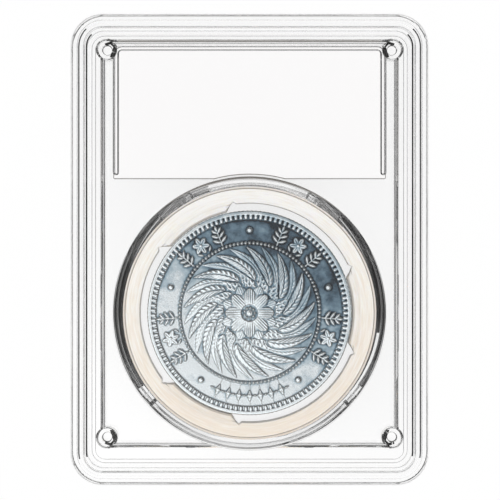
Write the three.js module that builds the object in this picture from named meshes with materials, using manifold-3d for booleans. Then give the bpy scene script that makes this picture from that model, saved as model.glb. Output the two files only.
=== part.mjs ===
import * as THREE from "three";
import { mergeVertices } from "three/addons/utils/BufferGeometryUtils.js";
import Module from "manifold-3d";

// Coin slab holder, lying on its back. Two clear moulded shells snap together around a soft ring,
// which grips the coin with three prongs, and around a label card. Millimetres, +Z out of the front
// window, +Y towards the label end, origin under the middle of the back.

// The coin
const coinDiameter = 38.1;
const coinThickness = 2.6;
const coinRimWidth = 0.8;
const coinFieldDepth = 0.15;
const coinEdgeRound = 0.2;
const beadCircleRadius = 13.0;
const beadCircleWidth = 0.5;
const reliefHeight = 0.1;
const reliefRoot = 0.2;
const petalCount = 8;
const petalLength = 8.6;
const petalWidth = 3.4;
const petalStart = 2.6;
const budRadius = 2.2;
const dotCount = 5;
const dotRadius = 0.6;
const dotCircleRadius = 15.4;

// The soft ring and its prongs
const prongClearance = 0.1;
const ringReach = 1.35;
const ringFlatWidth = 2.5;
const ringBevelRun = 1.8;
const ringEndGap = 0.1;
const prongCount = 3;
const prongSpan = 44;
const prongBlend = 5;
const prongTurn = 1.5;
const prongHeight = 2.8;
const prongRoot = 0.6;

// The room between the two windows and the wall around it
const windowThickness = 1.2;
const cavityDepth = 3.6;
const wallWidth = 2.8;
const slabCornerRadius = 6;
const edgeRound = 0.3;
const partingChamfer = 0.2;
const ceilingBevel = 0.3;

// The round well that the ring sits in
const wellClearance = 0.2;
const wellMouthRelief = 0.3;
const wellTipWidth = 0.25;
const wellPocketOverlap = 0.6;
const wellLabelOverlap = 0.55;

// The thin rib around well and label
const pocketRibWidth = 0.5;
const pocketCornerRadius = 1;
const pocketSideGap = 1.55;
const perimeterSideGap = 2.9;
const perimeterTopGap = 2.1;
const perimeterBottomGap = 4.25;

// The label card and the U-shaped ribs that hold its border
const labelHeight = 24.9;
const labelThickness = 0.4;
const labelSideMargin = 1.6;
const labelTopMargin = 0.3;
const labelFaceGap = 0.05;
const labelEdgeClearance = 0.25;
const labelRibInset = 1;
const labelRibWidth = 0.8;
const labelRibRadius = 1.5;
const labelRibEndGap = 1.2;

// The four snap posts
const bossRadius = 1.85;
const pinRadius = 0.95;
const pinReach = 1.5;
const pinTip = 0.35;
const pinClearance = 0.15;
const socketFloor = 0.3;
const postSideInset = 1;
const postEndInset = 1.7;

// The tongue of the back shell and the groove of the front shell
const tongueInset = 1.5;
const tongueWidth = 0.8;
const tongueHeight = 0.9;
const tongueBevel = 0.25;
const tongueClearance = 0.12;
const grooveBevel = 0.3;

// The raised lip on the front, and the ridge on the back that nests inside the next slab's lip
const lipInset = 1.25;
const lipWidth = 1.45;
const lipHeight = 1;
const lipSlope = 0.15;
const nestClearance = 0.65;
const ridgeWidth = 0.95;
const ridgeHeight = 1;
const ridgeSlope = 0.15;

// How finely round shapes are stepped
const roundSteps = 72;
const cornerSteps = 6;
const postSteps = 20;
const detailSteps = 12;
const overlap = 0.3;
const cutBeyond = 1;
const smallestRadius = 0.2;

// Radii from the coin outwards
const coinRadius = coinDiameter / 2;
const prongTipRadius = coinRadius + prongClearance;
const ringInnerRadius = coinRadius + ringReach;
const ringOuterRadius = ringInnerRadius + ringFlatWidth;
const ringEdgeRadius = ringOuterRadius + ringBevelRun;
const ringHeight = cavityDepth - 2 * ringEndGap;
const wellSlopeRun = (ringBevelRun * cavityDepth) / ringHeight;
const wellRadius = ringEdgeRadius + wellClearance - wellSlopeRun;
const wellMouthRadius = ringEdgeRadius + wellClearance + wellMouthRelief;
const wellOuterRadius = wellMouthRadius + wellTipWidth;

// Outlines of the slab, from its contents outwards
const pocketHalfWidth = wellOuterRadius + pocketSideGap + pocketRibWidth;
const halfWidth = pocketHalfWidth + perimeterSideGap + wallWidth;
const topToLabel = wallWidth + perimeterTopGap + pocketRibWidth + labelTopMargin;
const wellToBottom = perimeterBottomGap + wallWidth - wellPocketOverlap;
const slabHeight =
  topToLabel + labelHeight - wellLabelOverlap + 2 * wellOuterRadius + wellToBottom;
const halfHeight = slabHeight / 2;
const wellY = wellToBottom + wellOuterRadius - halfHeight;
const pocketTop = halfHeight - wallWidth - perimeterTopGap;
const pocketBottom = perimeterBottomGap + wallWidth - halfHeight;
const labelTop = pocketTop - pocketRibWidth - labelTopMargin;
const labelBottom = labelTop - labelHeight;
const labelHalfWidth = pocketHalfWidth - pocketRibWidth - labelSideMargin;

// Levels from the table up
const backFaceZ = ridgeHeight;
const backFloorZ = backFaceZ + windowThickness;
const partingZ = backFloorZ + cavityDepth / 2;
const frontCeilingZ = backFloorZ + cavityDepth;
const frontFaceZ = frontCeilingZ + windowThickness;
const lipTopZ = frontFaceZ + lipHeight;
const labelZ = partingZ + labelFaceGap;

// Centres of the four posts
const postX = pocketHalfWidth - postSideInset;
const postPlaces = [
  [-postX, pocketTop - postEndInset],
  [postX, pocketTop - postEndInset],
  [-postX, pocketBottom + postEndInset],
  [postX, pocketBottom + postEndInset],
];

const wasm = await Module();
wasm.setup();

// Turns a closed three.js geometry into a solid that can be joined and cut.
function solidOf(geometry) {
  const bare = geometry.clone();
  bare.deleteAttribute("normal");
  bare.deleteAttribute("uv");
  const merged = mergeVertices(bare, 1e-4);
  const mesh = new wasm.Mesh({
    numProp: 3,
    vertProperties: merged.attributes.position.array,
    triVerts: new Uint32Array(merged.index.array),
  });
  mesh.merge();
  return new wasm.Manifold(mesh);
}

// Turns a solid back into a named three.js mesh.
function meshOf(name, solid, material) {
  const result = solid.getMesh();
  const geometry = new THREE.BufferGeometry();
  geometry.setAttribute("position", new THREE.BufferAttribute(result.vertProperties, 3));
  geometry.setIndex(new THREE.BufferAttribute(result.triVerts, 1));
  geometry.computeVertexNormals();
  const mesh = new THREE.Mesh(geometry, material);
  mesh.name = name;
  return mesh;
}

function joined(solids) {
  return solids.reduce((whole, next) => whole.add(next));
}

// One rounded rectangle as a closed run of points, anticlockwise seen from +Z.
function roundedLoop(left, right, bottom, top, radius, z) {
  const corners = [
    [right - radius, top - radius, 0],
    [left + radius, top - radius, 1],
    [left + radius, bottom + radius, 2],
    [right - radius, bottom + radius, 3],
  ];
  const points = [];
  for (const [x, y, quarter] of corners) {
    for (let step = 0; step <= cornerSteps; step += 1) {
      const angle = ((quarter + step / cornerSteps) * Math.PI) / 2;
      points.push([x + radius * Math.cos(angle), y + radius * Math.sin(angle), z]);
    }
  }
  return points;
}

// The slab's outline moved inwards by an inset, at a height.
function slabLoop(inset, z) {
  const radius = Math.max(slabCornerRadius - inset, smallestRadius);
  const x = halfWidth - inset;
  const y = halfHeight - inset;
  return roundedLoop(-x, x, -y, y, radius, z);
}

// Skins the loops one after another. Closed, the last loop joins the first, as around a frame;
// open, the first loop is the floor and the last is the lid of a plate.
function skin(loops, closed) {
  const count = loops[0].length;
  const index = [];
  const last = closed ? loops.length : loops.length - 1;
  for (let row = 0; row < last; row += 1) {
    const here = row * count;
    const above = ((row + 1) % loops.length) * count;
    for (let k = 0; k < count; k += 1) {
      const next = (k + 1) % count;
      index.push(here + k, here + next, above + next);
      index.push(here + k, above + next, above + k);
    }
  }
  if (!closed) {
    const lid = (loops.length - 1) * count;
    for (let k = 1; k < count - 1; k += 1) {
      index.push(0, k + 1, k);
      index.push(lid, lid + k, lid + k + 1);
    }
  }
  const geometry = new THREE.BufferGeometry();
  geometry.setAttribute("position", new THREE.Float32BufferAttribute(loops.flat(2), 3));
  geometry.setIndex(index);
  return solidOf(geometry);
}

// A plate with the slab's outline, from pairs of inset and height, bottom first.
function slabPlate(levels) {
  return skin(levels.map(([inset, z]) => slabLoop(inset, z)), false);
}

// A frame along the slab's outline, whose section runs up its outer side and down its inner side.
function slabFrame(section) {
  return skin(section.map(([inset, z]) => slabLoop(inset, z)), true);
}

// A round bar along Z.
function bar(radius, low, high, x, y, steps, tipRadius = radius) {
  const geometry = new THREE.CylinderGeometry(radius, tipRadius, high - low, steps);
  geometry.rotateX(Math.PI / 2);
  geometry.translate(x, y, (low + high) / 2);
  return solidOf(geometry);
}

// A body turned about the Z axis at (0, y), from pairs of radius and height. The profile runs
// upwards on its outer side and closes on itself or on the axis.
function turned(profile, y, steps) {
  const points = profile.map(([radius, z]) => new THREE.Vector2(radius, z));
  const geometry = new THREE.LatheGeometry(points, steps);
  geometry.rotateX(Math.PI / 2);
  geometry.translate(0, y, 0);
  return solidOf(geometry);
}

// A flat outline given depth between two heights.
function slice(shape, low, high) {
  const geometry = new THREE.ExtrudeGeometry(shape, {
    depth: high - low,
    bevelEnabled: false,
    curveSegments: detailSteps,
  });
  geometry.translate(0, 0, low);
  return solidOf(geometry);
}

// Insets and heights of a rounded outer edge, for the last steps of a plate.
function roundedEdge(z, direction) {
  const steps = [];
  for (let step = 0; step <= cornerSteps / 2; step += 1) {
    const angle = (step / (cornerSteps / 2)) * (Math.PI / 2);
    const inset = edgeRound * (1 - Math.cos(angle));
    steps.push([inset, z - direction * edgeRound * (1 - Math.sin(angle))]);
  }
  return steps;
}

// The thin rib around the pocket, between two heights.
function pocketRib(low, high) {
  const loop = (inset, z) =>
    roundedLoop(
      inset - pocketHalfWidth,
      pocketHalfWidth - inset,
      pocketBottom + inset,
      pocketTop - inset,
      Math.max(pocketCornerRadius - inset, smallestRadius),
      z,
    );
  const outer = [loop(0, low), loop(0, high)];
  const inner = [loop(pocketRibWidth, high), loop(pocketRibWidth, low)];
  return skin([...outer, ...inner], true);
}

// The U-shaped rib over the border of the label, open towards the well, with round ends.
function labelRib(low, high) {
  const halfRib = labelRibWidth / 2;
  const outerX = labelHalfWidth - labelRibInset + labelRibWidth;
  const outerY = labelTop - labelRibInset + labelRibWidth;
  const innerX = outerX - labelRibWidth;
  const innerY = outerY - labelRibWidth;
  const innerRadius = Math.max(labelRibRadius - labelRibWidth, smallestRadius);
  const endY = labelBottom + labelRibEndGap;
  const shape = new THREE.Shape();
  shape.moveTo(outerX, endY);
  shape.lineTo(outerX, outerY - labelRibRadius);
  shape.absarc(outerX - labelRibRadius, outerY - labelRibRadius, labelRibRadius, 0, Math.PI / 2);
  shape.lineTo(labelRibRadius - outerX, outerY);
  shape.absarc(labelRibRadius - outerX, outerY - labelRibRadius, labelRibRadius, Math.PI / 2, Math.PI);
  shape.lineTo(-outerX, endY);
  shape.absarc(halfRib - outerX, endY, halfRib, Math.PI, 2 * Math.PI);
  shape.lineTo(-innerX, innerY - innerRadius);
  shape.absarc(innerRadius - innerX, innerY - innerRadius, innerRadius, Math.PI, Math.PI / 2, true);
  shape.lineTo(innerX - innerRadius, innerY);
  shape.absarc(innerX - innerRadius, innerY - innerRadius, innerRadius, Math.PI / 2, 0, true);
  shape.lineTo(innerX, endY);
  shape.absarc(outerX - halfRib, endY, halfRib, Math.PI, 2 * Math.PI);
  return slice(shape, low, high);
}

// Half of the round well: a wall whose inner face slopes away from the ring, thick at the window
// and thin at the parting plane.
function wellHalf(windowZ) {
  const rootZ = windowZ + Math.sign(windowZ - partingZ) * overlap;
  const profile = [
    [wellOuterRadius, rootZ],
    [wellOuterRadius, partingZ],
    [wellMouthRadius, partingZ],
    [wellRadius, windowZ],
    [wellRadius, rootZ],
  ];
  if (windowZ > partingZ) {
    profile.reverse();
  }
  profile.push(profile[0]);
  return turned(profile, wellY, roundSteps);
}

// The lower clear shell, up to the parting plane, with the tongue above it and the ridge below it.
function backShell() {
  const outer = slabPlate([
    ...roundedEdge(backFaceZ, -1).reverse(),
    [0, partingZ - partingChamfer],
    [partingChamfer, partingZ],
  ]);
  const room = slabPlate([
    [wallWidth + ceilingBevel, backFloorZ],
    [wallWidth, backFloorZ + ceilingBevel],
    [wallWidth, partingZ + overlap],
  ]);
  const ridgeInset = lipInset + lipWidth + nestClearance;
  const ridge = slabFrame([
    [ridgeInset + ridgeSlope, 0],
    [ridgeInset, backFaceZ],
    [ridgeInset, backFaceZ + overlap],
    [ridgeInset + ridgeWidth, backFaceZ + overlap],
    [ridgeInset + ridgeWidth, backFaceZ],
    [ridgeInset + ridgeWidth - ridgeSlope, 0],
  ]);
  const tongue = slabFrame([
    [tongueInset, partingZ - overlap],
    [tongueInset, partingZ + tongueHeight - tongueBevel],
    [tongueInset + tongueBevel, partingZ + tongueHeight],
    [tongueInset + tongueWidth - tongueBevel, partingZ + tongueHeight],
    [tongueInset + tongueWidth, partingZ + tongueHeight - tongueBevel],
    [tongueInset + tongueWidth, partingZ - overlap],
  ]);
  const ribLow = backFloorZ - overlap;
  const ribs = [pocketRib(ribLow, partingZ), labelRib(ribLow, partingZ), wellHalf(backFloorZ)];
  const bosses = postPlaces.map(([x, y]) => bar(bossRadius, ribLow, partingZ, x, y, postSteps));
  const socketZ = partingZ - pinReach - socketFloor;
  const sockets = postPlaces.map(([x, y]) =>
    bar(pinRadius + pinClearance, socketZ, partingZ + cutBeyond, x, y, postSteps),
  );
  const inside = wellInside(backFloorZ, partingZ + cutBeyond);
  const body = joined([outer.subtract(room), ridge, tongue, ...ribs, ...bosses]);
  return body.subtract(inside).subtract(joined(sockets));
}

// The room that ribs may not reach into: the well between a window and the parting plane.
function wellInside(windowZ, beyondZ) {
  const profile = [
    [0, windowZ],
    [wellRadius, windowZ],
    [wellMouthRadius, partingZ],
    [wellMouthRadius, beyondZ],
    [0, beyondZ],
  ];
  if (windowZ > beyondZ) {
    profile.reverse();
  }
  return turned(profile, wellY, roundSteps);
}

// The upper clear shell, down to the parting plane, with the stacking lip above it.
function frontShell() {
  const outer = slabPlate([
    [partingChamfer, partingZ],
    [0, partingZ + partingChamfer],
    ...roundedEdge(frontFaceZ, 1),
  ]);
  const room = slabPlate([
    [wallWidth, partingZ - overlap],
    [wallWidth, frontCeilingZ - ceilingBevel],
    [wallWidth + ceilingBevel, frontCeilingZ],
  ]);
  const lip = slabFrame([
    [lipInset, frontFaceZ - overlap],
    [lipInset, frontFaceZ],
    [lipInset + lipSlope, lipTopZ],
    [lipInset + lipWidth - lipSlope, lipTopZ],
    [lipInset + lipWidth, frontFaceZ],
    [lipInset + lipWidth, frontFaceZ - overlap],
  ]);
  const grooveOuter = tongueInset - tongueClearance;
  const grooveInner = tongueInset + tongueWidth + tongueClearance;
  const grooveRoofZ = partingZ + tongueHeight + tongueClearance;
  const groove = slabFrame([
    [grooveOuter, partingZ - overlap],
    [grooveOuter, grooveRoofZ - grooveBevel],
    [grooveOuter + grooveBevel, grooveRoofZ],
    [grooveInner - grooveBevel, grooveRoofZ],
    [grooveInner, grooveRoofZ - grooveBevel],
    [grooveInner, partingZ - overlap],
  ]);
  const ribHigh = frontCeilingZ + overlap;
  const labelRibZ = labelZ + labelThickness + labelFaceGap;
  const ribs = [pocketRib(partingZ, ribHigh), labelRib(labelRibZ, ribHigh), wellHalf(frontCeilingZ)];
  const bosses = postPlaces.map(([x, y]) => bar(bossRadius, partingZ, ribHigh, x, y, postSteps));
  const pinZ = partingZ - pinReach;
  const pins = postPlaces.flatMap(([x, y]) => [
    bar(pinRadius, pinZ + pinTip, partingZ + overlap, x, y, postSteps),
    bar(pinRadius, pinZ, pinZ + pinTip, x, y, postSteps, pinRadius - pinTip),
  ]);
  const inside = wellInside(frontCeilingZ, partingZ - cutBeyond);
  const body = joined([outer.subtract(room), lip, ...ribs, ...bosses]);
  return body.subtract(inside).subtract(groove).add(joined(pins));
}

// How far inwards the ring's inner outline reaches at an angle: it blends smoothly between the
// ring's bore and the three prongs.
function gripRadius(angle) {
  const pitch = 360 / prongCount;
  const turn = THREE.MathUtils.euclideanModulo(angle - prongTurn + pitch / 2, pitch) - pitch / 2;
  const share = THREE.MathUtils.smoothstep(prongSpan / 2 - Math.abs(turn), 0, prongBlend);
  return THREE.MathUtils.lerp(ringInnerRadius + prongRoot / 2, prongTipRadius, share);
}

// The soft ring: bevelled outside to fit the well, with three prongs that grip the coin's edge.
function coinRing() {
  const low = partingZ - ringHeight / 2;
  const high = partingZ + ringHeight / 2;
  const body = turned(
    [
      [ringInnerRadius, low],
      [ringOuterRadius, low],
      [ringEdgeRadius, partingZ],
      [ringOuterRadius, high],
      [ringInnerRadius, high],
      [ringInnerRadius, low],
    ],
    wellY,
    roundSteps,
  );
  const steps = 2 * roundSteps;
  const shape = new THREE.Shape();
  const bore = new THREE.Path();
  for (let step = 0; step < steps; step += 1) {
    const angle = (2 * Math.PI * step) / steps;
    const outer = ringInnerRadius + prongRoot;
    const inner = gripRadius((360 * step) / steps);
    const move = step ? "lineTo" : "moveTo";
    shape[move](outer * Math.cos(angle), wellY + outer * Math.sin(angle));
    bore[move](inner * Math.cos(angle), wellY + inner * Math.sin(angle));
  }
  shape.holes.push(bore);
  const prongs = slice(shape, partingZ - prongHeight / 2, partingZ + prongHeight / 2);
  return body.add(prongs);
}

// The raised shapes of one face of the coin, from below the field up to the relief.
function coinRelief(fieldZ, side) {
  const low = Math.min(fieldZ - side * reliefRoot, fieldZ + side * reliefHeight);
  const high = low + reliefRoot + reliefHeight;
  const circle = turned(
    [
      [beadCircleRadius - beadCircleWidth / 2, low],
      [beadCircleRadius + beadCircleWidth / 2, low],
      [beadCircleRadius + beadCircleWidth / 2, high],
      [beadCircleRadius - beadCircleWidth / 2, high],
      [beadCircleRadius - beadCircleWidth / 2, low],
    ],
    wellY,
    roundSteps,
  );
  const bud = bar(budRadius, low, high, 0, wellY, detailSteps);
  const petals = [];
  for (let k = 0; k < petalCount; k += 1) {
    const petal = new THREE.Shape();
    petal.moveTo(petalStart, 0);
    petal.quadraticCurveTo(petalStart + petalLength / 2, petalWidth, petalStart + petalLength, 0);
    petal.quadraticCurveTo(petalStart + petalLength / 2, -petalWidth, petalStart, 0);
    const geometry = new THREE.ExtrudeGeometry(petal, {
      depth: high - low,
      bevelEnabled: false,
      curveSegments: detailSteps / 2,
    });
    geometry.rotateZ((2 * Math.PI * k) / petalCount);
    geometry.translate(0, wellY, low);
    petals.push(solidOf(geometry));
  }
  const dots = [];
  for (let k = 0; k < dotCount; k += 1) {
    const angle = Math.PI / 2 + (2 * Math.PI * k) / dotCount;
    const x = dotCircleRadius * Math.cos(angle);
    const y = wellY + dotCircleRadius * Math.sin(angle);
    dots.push(bar(dotRadius, low, high, x, y, detailSteps));
  }
  return joined([circle, bud, ...petals, ...dots]);
}

// The coin: a disc with raised rims and low relief on both faces.
function coin() {
  const low = partingZ - coinThickness / 2;
  const high = partingZ + coinThickness / 2;
  const lowField = low + coinFieldDepth;
  const highField = high - coinFieldDepth;
  const rimRadius = coinRadius - coinRimWidth;
  const disc = turned(
    [
      [0, lowField],
      [rimRadius - coinFieldDepth, lowField],
      [rimRadius, low],
      [coinRadius - coinEdgeRound, low],
      [coinRadius, low + coinEdgeRound],
      [coinRadius, high - coinEdgeRound],
      [coinRadius - coinEdgeRound, high],
      [rimRadius, high],
      [rimRadius - coinFieldDepth, highField],
      [0, highField],
    ],
    wellY,
    roundSteps,
  );
  return joined([disc, coinRelief(lowField, -1), coinRelief(highField, 1)]);
}

// The label card, cut round the well and the two upper posts.
function labelCard() {
  const high = labelZ + labelThickness;
  const sheet = skin(
    [labelZ, high].map((z) =>
      roundedLoop(-labelHalfWidth, labelHalfWidth, labelBottom, labelTop, smallestRadius, z),
    ),
    false,
  );
  const cut = (radius, x, y, steps) =>
    bar(radius + labelEdgeClearance, labelZ - cutBeyond, high + cutBeyond, x, y, steps);
  const wellCut = cut(wellOuterRadius, 0, wellY, roundSteps);
  const postCuts = postPlaces.map(([x, y]) => cut(bossRadius, x, y, postSteps));
  return sheet.subtract(joined([wellCut, ...postCuts]));
}

const clearPlastic = new THREE.MeshStandardMaterial({
  color: 0xf3f5f8,
  roughness: 0.05,
  metalness: 0,
  transparent: true,
  opacity: 0.3,
});
const softRing = new THREE.MeshStandardMaterial({ color: 0xefe6d8, roughness: 0.45, metalness: 0 });
const tonedSilver = new THREE.MeshStandardMaterial({ color: 0x8796a3, roughness: 0.35, metalness: 1 });
const whiteCard = new THREE.MeshStandardMaterial({ color: 0xfbfaf8, roughness: 0.8, metalness: 0 });

const holder = new THREE.Group();
holder.add(
  meshOf("back_shell", backShell(), clearPlastic.clone()),
  meshOf("front_shell", frontShell(), clearPlastic.clone()),
  meshOf("coin_ring", coinRing(), softRing),
  meshOf("coin", coin(), tonedSilver),
  meshOf("label_card", labelCard(), whiteCard),
);

export default holder;
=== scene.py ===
import math

import bpy
import numpy as np
from bpy.props import FloatProperty, FloatVectorProperty, IntProperty, PointerProperty
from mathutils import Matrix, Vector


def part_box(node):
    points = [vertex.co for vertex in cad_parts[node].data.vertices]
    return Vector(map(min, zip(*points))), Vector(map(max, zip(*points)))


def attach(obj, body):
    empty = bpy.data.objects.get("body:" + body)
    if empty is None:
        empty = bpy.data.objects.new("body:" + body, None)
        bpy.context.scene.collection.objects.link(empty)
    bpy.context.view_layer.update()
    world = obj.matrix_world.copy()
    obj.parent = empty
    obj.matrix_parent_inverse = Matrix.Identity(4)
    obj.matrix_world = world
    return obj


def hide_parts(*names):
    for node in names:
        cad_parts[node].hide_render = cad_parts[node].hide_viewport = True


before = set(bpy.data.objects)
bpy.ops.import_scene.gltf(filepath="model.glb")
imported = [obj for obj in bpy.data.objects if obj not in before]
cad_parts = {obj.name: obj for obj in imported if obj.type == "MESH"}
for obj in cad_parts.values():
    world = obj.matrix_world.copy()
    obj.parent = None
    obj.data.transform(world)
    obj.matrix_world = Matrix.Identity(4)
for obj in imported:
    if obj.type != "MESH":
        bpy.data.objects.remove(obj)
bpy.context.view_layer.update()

bl_info = {
    "name": "Coin slab holder",
    "version": (1, 0, 0),
    "blender": (4, 5, 0),
    "location": "View3D > Sidebar > Coin slab",
    "description": "Builds a clear snap-together coin slab with its ring, coin and label card",
    "category": "Add Mesh",
}

MM = 0.001
UP = 1
DOWN = -1
WHITE = (1.0, 1.0, 1.0, 1.0)
BLACK = (0.0, 0.0, 0.0, 1.0)
# How far a piece that is joined on reaches into what it stands on, how far below that surface its foot
# begins, and how far a cutting piece reaches past what it cuts.
SUNK = 0.3 * MM
SKIM = 0.01 * MM
BEYOND = 1.0 * MM
# How much higher than wide the bevels along the tops of the ribs are.
STEEP_TIP = 1.2
# Edges sharper than this keep a crease in pieces that are joined and cut.
SHARP = math.radians(35)
# Places around a circle: the ring, the well, a post and a pin.
RING_STEPS = 720
WELL_STEPS = 256
POST_STEPS = 48
PIN_STEPS = 32


def corners(node):
    """Lowest and highest corner of a CAD node, as arrays in metres."""
    low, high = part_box(node)
    return np.array(low), np.array(high)


FRONT_HIGH = corners("front_shell")[1]
RING_LOW, RING_HIGH = corners("coin_ring")
COIN_LOW, COIN_HIGH = corners("coin")
CARD_LOW, CARD_HIGH = corners("label_card")
WELL = (COIN_LOW + COIN_HIGH)[:2] / 2
MID_Z = float(COIN_LOW[2] + COIN_HIGH[2]) / 2
COIN_RADIUS = float(COIN_HIGH[0] - WELL[0])


def linear(code):
    """An sRGB hex colour such as f4efe6 as linear red, green, blue and a full alpha."""
    srgb = np.array([int(code[k:k + 2], 16) for k in (0, 2, 4)]) / 255
    low = srgb / 12.92
    high = ((srgb + 0.055) / 1.055) ** 2.4
    return (*np.where(srgb <= 0.04045, low, high).tolist(), 1.0)


def property_of(kind, unit_size=1, **settings):
    """A function that makes properties of one kind out of their names, descriptions and defaults."""
    def made(name, description, default):
        return kind(name=name, description=description, default=default * unit_size, **settings)
    return made


# Lengths are given in millimetres and arcs in degrees.
length = property_of(FloatProperty, MM, min=0.0, unit="LENGTH")
offset = property_of(FloatProperty, MM, unit="LENGTH")
arc = property_of(FloatProperty, math.radians(1), subtype="ANGLE")
fraction = property_of(FloatProperty, min=0.0, max=1.0, subtype="FACTOR")
brightness = property_of(FloatProperty, min=0.0)
direction = property_of(FloatVectorProperty, subtype="XYZ")
number = property_of(IntProperty, min=1)
colour = property_of(FloatVectorProperty, size=4, min=0.0, max=1.0, subtype="COLOR")


class ShellSizes(bpy.types.PropertyGroup):
    """Sizes of the two clear shells, close to those of the CAD solids."""

    wall: length("Wall", "Width of the outer wall", 2.8)
    window: length("Window", "Thickness of the window panels", 1.2)
    corner: length("Corner", "Radius of the slab's corners seen from the front", 6.0)
    edge: length("Edge round", "Radius of the outer edges", 0.3)
    chamfer: length("Parting chamfer", "Chamfer beside the parting line", 0.2)
    film: length("Air film", "Air between the two shells where they meet", 0.03)
    lip_inset: length("Lip inset", "From the outline to the raised lip", 1.25)
    lip_width: length("Lip width", "Width of the raised lip at its foot", 1.45)
    lip_height: length("Lip height", "How far lip and back ridge stand out", 1.0)
    lip_slope: length("Lip slope", "How far the lip's sides lean in", 0.15)
    lip_foot: length("Lip foot", "Radius at the foot of the lip", 0.15)
    lip_outer: length("Lip outer round", "Radius of the lip's outer edge", 0.15)
    lip_inner: length("Lip inner round", "Radius of the lip's inner edge", 0.1)
    ridge_gap: length("Nesting gap", "Gap between a ridge and the next slab's lip", 0.65)
    ridge_width: length("Ridge width", "Width of the back ridge at its foot", 0.95)
    ridge_slope: length("Ridge slope", "How far the back ridge's sides lean in", 0.15)
    ridge_round: length("Ridge round", "Radius of the back ridge's edges", 0.12)
    tongue_inset: length("Tongue inset", "From the outline to the tongue", 1.5)
    tongue_width: length("Tongue width", "Width of the tongue", 0.7)
    tongue_height: length("Tongue height", "Height of the tongue", 0.9)
    tongue_gap: length("Tongue gap", "Clearance of the tongue in its groove", 0.12)
    groove_outer: length("Groove outer bevel", "Bevel of the groove's outer corner", 0.25)
    groove_inner: length("Groove inner bevel", "Bevel of the groove's inner corner", 0.06)
    tongue_bevel: length("Tongue bevel", "Bevel of the tongue's top", 0.25)
    ceiling_bevel: length("Ceiling bevel", "Bevel where the walls meet the windows", 0.3)
    pocket_x: length("Pocket half width", "From the middle to the pocket rib's outer side", 27.5)
    pocket_top: length("Pocket top", "From the middle to the pocket rib's upper side", 38.8)
    pocket_bottom: length("Pocket bottom", "From the middle to the pocket rib's lower side", 36.65)
    pocket_corner: length("Pocket corner", "Corner radius of the pocket rib", 1.0)
    rib: length("Rib width", "Width of the pocket rib", 0.5)
    label_rib: length("Label rib width", "Width of the label's U-shaped rib", 0.8)
    label_inset: length("Label rib inset", "From the card's edge to the rib's inner side", 1.0)
    label_corner: length("Label rib corner", "Outer corner radius of the U-shaped rib", 1.5)
    label_end: length("Label rib end", "From the card's lower edge to the rib's ends", 1.2)
    card_gap: length("Card gap", "Between the card and the ribs that hold it", 0.05)
    boss: length("Boss radius", "Radius of the snap posts", 1.85)
    pin: length("Pin radius", "Radius of the snap pins", 0.95)
    pin_reach: length("Pin reach", "How far the pins reach into their sockets", 1.5)
    pin_gap: length("Pin gap", "Clearance of the pins in their sockets", 0.15)
    pin_round: length("Pin round", "Radius of the pins' ends", 0.35)
    socket_room: length("Socket room", "Depth of the sockets beyond the pins' ends", 0.3)
    post_x: length("Post inset", "From the pocket's side to the posts' middles", 1.0)
    post_y: length("Post end inset", "From the pocket's ends to the posts' middles", 1.7)
    well: length("Well radius", "Radius of the round well at the windows", 23.5)
    well_mouth: length("Well mouth radius", "Radius of the well at the parting plane", 25.4)
    well_outer: length("Well outer radius", "Radius of the well wall's outer side", 25.5)
    foot: length("Rib foot bevel", "Bevel at the feet of the ribs", 0.18)
    tip: length("Rib tip bevel", "Bevel along the tops of the ribs", 0.2)


class RingSizes(bpy.types.PropertyGroup):
    """Sizes of the soft ring."""

    inner: length("Bore radius", "Radius of the ring's bore", 20.4)
    bore_round: length("Bore round", "Radius of the bore's edges", 0.15)
    flat: length("Flat radius", "Outer radius of the flat faces", 23.0)
    step_width: length("Step width", "Width of the step round the flat faces", 0.22)
    step_height: length("Step height", "Height of the step round the flat faces", 0.42)
    step_round: length("Step round", "Radius at the foot of the step", 0.08)
    round: length("Small round", "Radius of the other small edges", 0.1)
    prongs: number("Prongs", "How many prongs grip the coin", 3)
    turn: arc("Prong turn", "Angle of the first prong", 1.5)
    span: arc("Prong span", "Angle that a prong covers", 44)
    blend: arc("Prong blend", "Angle over which a prong rises", 4)
    grip: length("Grip radius", "Radius of the prongs' tips", 19.15)
    prong_height: length("Prong height", "Height of the prongs", 2.8)
    prong_bevel: length("Prong bevel", "Bevel along the prongs' tips", 0.4)
    prong_root: length("Prong root round", "Radius where the prongs leave the bore", 0.175)
    notch_width: arc("Notch width", "Half the angle of the notch beside each prong", 0.9)
    notch_depth: length("Notch depth", "Depth of the notch beside each prong", 0.5)


class CoinSizes(bpy.types.PropertyGroup):
    """Sizes of the coin and its relief."""

    rim: length("Rim width", "Width of the plain rim", 0.95)
    field: length("Field depth", "How far the field lies below the rim", 0.33)
    relief: length("Relief", "Height of the devices above the field", 0.3)
    edge: length("Rim round", "Radius of the rim's outer edge", 0.25)
    seam: length("Seam radius", "Where the middle of a face ends and its border begins", 12.6)
    beads: length("Bead circle", "Radius of the beaded circle", 13.0)
    bead_count: number("Beads", "Beads in the circle", 112)
    teeth: number("Teeth", "Teeth inside the rim", 121)
    leaves: number("Leaves", "Large leaves in the wreath", 13)
    petals: number("Petals", "Petals in each layer of the rosette", 8)
    dots: number("Dots", "Large dots between the sprigs", 5)
    cells: number("Cells", "Grid cells across the middle of a face", 300)
    rows: number("Rows", "Grid rows across the border of a face", 66)
    reeds: number("Reeds", "Grooves around the edge", 150)
    reed: length("Reed depth", "Depth of the grooves around the edge", 0.07)


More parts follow.
